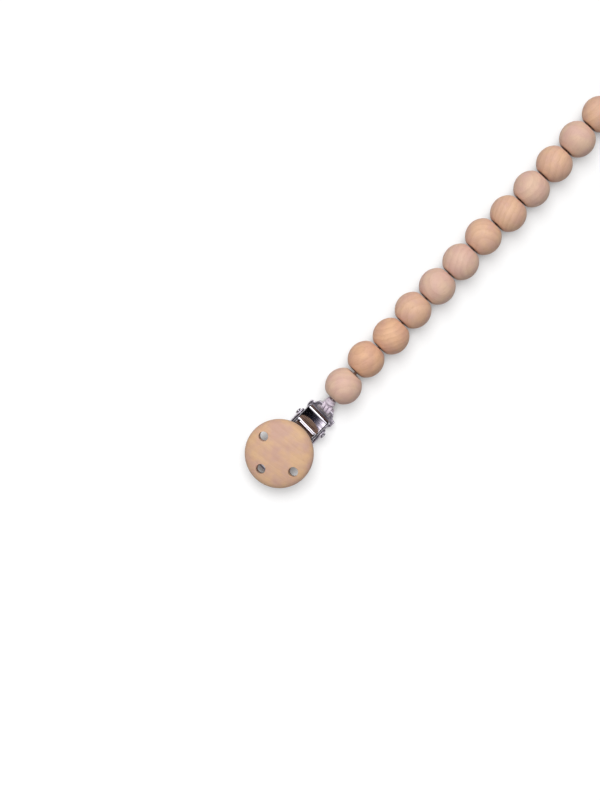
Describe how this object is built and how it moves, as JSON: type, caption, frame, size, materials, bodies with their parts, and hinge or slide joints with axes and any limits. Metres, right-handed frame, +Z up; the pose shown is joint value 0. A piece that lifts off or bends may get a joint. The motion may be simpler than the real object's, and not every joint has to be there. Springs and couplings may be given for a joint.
{
  "type": "pacifier chain",
  "caption": "Soother holder: a sprung metal clip with a round wooden disc, tied to a row of turned wooden beads on a thin cord that ends in a loop.",
  "frame": {"origin": "middle of the foot of the object's box, without the knot and loop at its far end", "axes": "+X along the row of beads, from the clip to the loop; +Z up from the table that it lies on; the hinge pin lies 2.2 degrees from Y"},
  "size_m": [0.2645, 0.03, 0.016],
  "materials": {
    "disc_wood": "unfinished, sanded",
    "bead_wood": "unfinished, sanded",
    "plated_steel": "nickel plated, bright",
    "spring_steel": "drawn wire",
    "jaw_plastic": "moulded, matt",
    "cord_cotton": "waxed twisted cord, lilac white"
  },
  "bodies": {
    "clip_base": {"base_plate": "plated_steel", "jaw_insert": "jaw_plastic", "hinge_pin": "plated_steel", "torsion_spring": "spring_steel"},
    "lever": {"lever_plate": "plated_steel", "wood_disc": "disc_wood", "disc_rivet": "plated_steel"},
    "tie": {"bar_wrap": "cord_cotton", "neck_knot": "cord_cotton"},
    "link_01": {"cord_01": "cord_cotton"},
    "bead_01_body": {"bead_01": "bead_wood"},
    "link_02": {"cord_02": "cord_cotton"},
    "bead_02_body": {"bead_02": "bead_wood"},
    "link_03": {"cord_03": "cord_cotton"},
    "bead_03_body": {"bead_03": "bead_wood"},
    "link_04": {"cord_04": "cord_cotton"},
    "bead_04_body": {"bead_04": "bead_wood"},
    "link_05": {"cord_05": "cord_cotton"},
    "bead_05_body": {"bead_05": "bead_wood"},
    "link_06": {"cord_06": "cord_cotton"},
    "bead_06_body": {"bead_06": "bead_wood"},
    "link_07": {"cord_07": "cord_cotton"},
    "bead_07_body": {"bead_07": "bead_wood"},
    "link_08": {"cord_08": "cord_cotton"},
    "bead_08_body": {"bead_08": "bead_wood"},
    "link_09": {"cord_09": "cord_cotton"},
    "bead_09_body": {"bead_09": "bead_wood"},
    "link_10": {"cord_10": "cord_cotton"},
    "bead_10_body": {"bead_10": "bead_wood"},
    "link_11": {"cord_11": "cord_cotton"},
    "bead_11_body": {"bead_11": "bead_wood"},
    "link_12": {"cord_12": "cord_cotton", "end_knot": "cord_cotton", "end_loop": "cord_cotton"},
    "bead_12_body": {"bead_12": "bead_wood"}
  },
  "joints": [
    {"name": "jaw_hinge", "type": "hinge", "parent": "clip_base", "child": "lever", "pos_m": [-0.07872, -0.00073, 0.0046], "axis": [0.0384, 0.9993, 0], "range_deg": [0, 25], "stiffness_Nm_per_rad": 0.05, "springref_deg": -14.32, "deforming": ["torsion_spring"]},
    {"name": "tie_swing", "type": "hinge", "parent": "clip_base", "child": "tie", "pos_m": [-0.06903, -0.0011, 0.00403], "axis": [0.0384, 0.9993, 0], "range_deg": [-60, 60]},
    {"name": "cord_bend_01", "type": "hinge", "parent": "tie", "child": "link_01", "pos_m": [-0.0647, -0.0005, 0.00643], "axis": [0, 0, 1], "range_deg": [-8, 8]},
    {"name": "cord_bend_02", "type": "hinge", "parent": "link_01", "child": "link_02", "pos_m": [-0.04976, 0, 0.0083], "axis": [0, 1, 0], "range_deg": [-10, 10]},
    {"name": "cord_bend_03", "type": "hinge", "parent": "link_02", "child": "link_03", "pos_m": [-0.03478, 0, 0.008], "axis": [0, 0, 1], "range_deg": [-10, 10]},
    {"name": "cord_bend_04", "type": "hinge", "parent": "link_03", "child": "link_04", "pos_m": [-0.02003, 0, 0.008], "axis": [0, 1, 0], "range_deg": [-10, 10]},
    {"name": "cord_bend_05", "type": "hinge", "parent": "link_04", "child": "link_05", "pos_m": [-0.00528, 0, 0.008], "axis": [0, 0, 1], "range_deg": [-10, 10]},
    {"name": "cord_bend_06", "type": "hinge", "parent": "link_05", "child": "link_06", "pos_m": [0.00947, 0, 0.008], "axis": [0, 1, 0], "range_deg": [-10, 10]},
    {"name": "cord_bend_07", "type": "hinge", "parent": "link_06", "child": "link_07", "pos_m": [0.02423, 0, 0.008], "axis": [0, 0, 1], "range_deg": [-10, 10]},
    {"name": "cord_bend_08", "type": "hinge", "parent": "link_07", "child": "link_08", "pos_m": [0.03898, 0, 0.008], "axis": [0, 1, 0], "range_deg": [-10, 10]},
    {"name": "cord_bend_09", "type": "hinge", "parent": "link_08", "child": "link_09", "pos_m": [0.05373, 0, 0.008], "axis": [0, 0, 1], "range_deg": [-10, 10]},
    {"name": "cord_bend_10", "type": "hinge", "parent": "link_09", "child": "link_10", "pos_m": [0.06848, 0, 0.008], "axis": [0, 1, 0], "range_deg": [-10, 10]},
    {"name": "cord_bend_11", "type": "hinge", "parent": "link_10", "child": "link_11", "pos_m": [0.08324, 0, 0.008], "axis": [0, 0, 1], "range_deg": [-10, 10]},
    {"name": "cord_bend_12", "type": "hinge", "parent": "link_11", "child": "link_12", "pos_m": [0.09799, 0, 0.008], "axis": [0, 1, 0], "range_deg": [-10, 10]},
    {"name": "bead_01_spin", "type": "hinge", "parent": "link_01", "child": "bead_01_body", "pos_m": [-0.05736, -0.0001, 0.008], "axis": [0.9945, 0, 0.1045], "continuous": true},
    {"name": "bead_02_spin", "type": "hinge", "parent": "link_02", "child": "bead_02_body", "pos_m": [-0.04216, 0.0008, 0.008], "axis": [1, 0, 0], "continuous": true},
    {"name": "bead_03_spin", "type": "hinge", "parent": "link_03", "child": "bead_03_body", "pos_m": [-0.02741, -0.0002, 0.008], "axis": [1, 0, 0], "continuous": true},
    {"name": "bead_04_spin", "type": "hinge", "parent": "link_04", "child": "bead_04_body", "pos_m": [-0.01265, 0.0006, 0.008], "axis": [1, 0, 0], "continuous": true},
    {"name": "bead_05_spin", "type": "hinge", "parent": "link_05", "child": "bead_05_body", "pos_m": [0.0021, 0.0001, 0.008], "axis": [1, 0, 0], "continuous": true},
    {"name": "bead_06_spin", "type": "hinge", "parent": "link_06", "child": "bead_06_body", "pos_m": [0.01685, 0, 0.008], "axis": [1, 0, 0], "continuous": true},
    {"name": "bead_07_spin", "type": "hinge", "parent": "link_07", "child": "bead_07_body", "pos_m": [0.0316, 0.0004, 0.008], "axis": [1, 0, 0], "continuous": true},
    {"name": "bead_08_spin", "type": "hinge", "parent": "link_08", "child": "bead_08_body", "pos_m": [0.04636, -0.0006, 0.008], "axis": [1, 0, 0], "continuous": true},
    {"name": "bead_09_spin", "type": "hinge", "parent": "link_09", "child": "bead_09_body", "pos_m": [0.06111, -0.0006, 0.008], "axis": [1, 0, 0], "continuous": true},
    {"name": "bead_10_spin", "type": "hinge", "parent": "link_10", "child": "bead_10_body", "pos_m": [0.07586, -0.0003, 0.008], "axis": [1, 0, 0], "continuous": true},
    {"name": "bead_11_spin", "type": "hinge", "parent": "link_11", "child": "bead_11_body", "pos_m": [0.09061, -0.0002, 0.008], "axis": [1, 0, 0], "continuous": true},
    {"name": "bead_12_spin", "type": "hinge", "parent": "link_12", "child": "bead_12_body", "pos_m": [0.10537, 0.0001, 0.008], "axis": [1, 0, 0], "continuous": true}
  ]
}
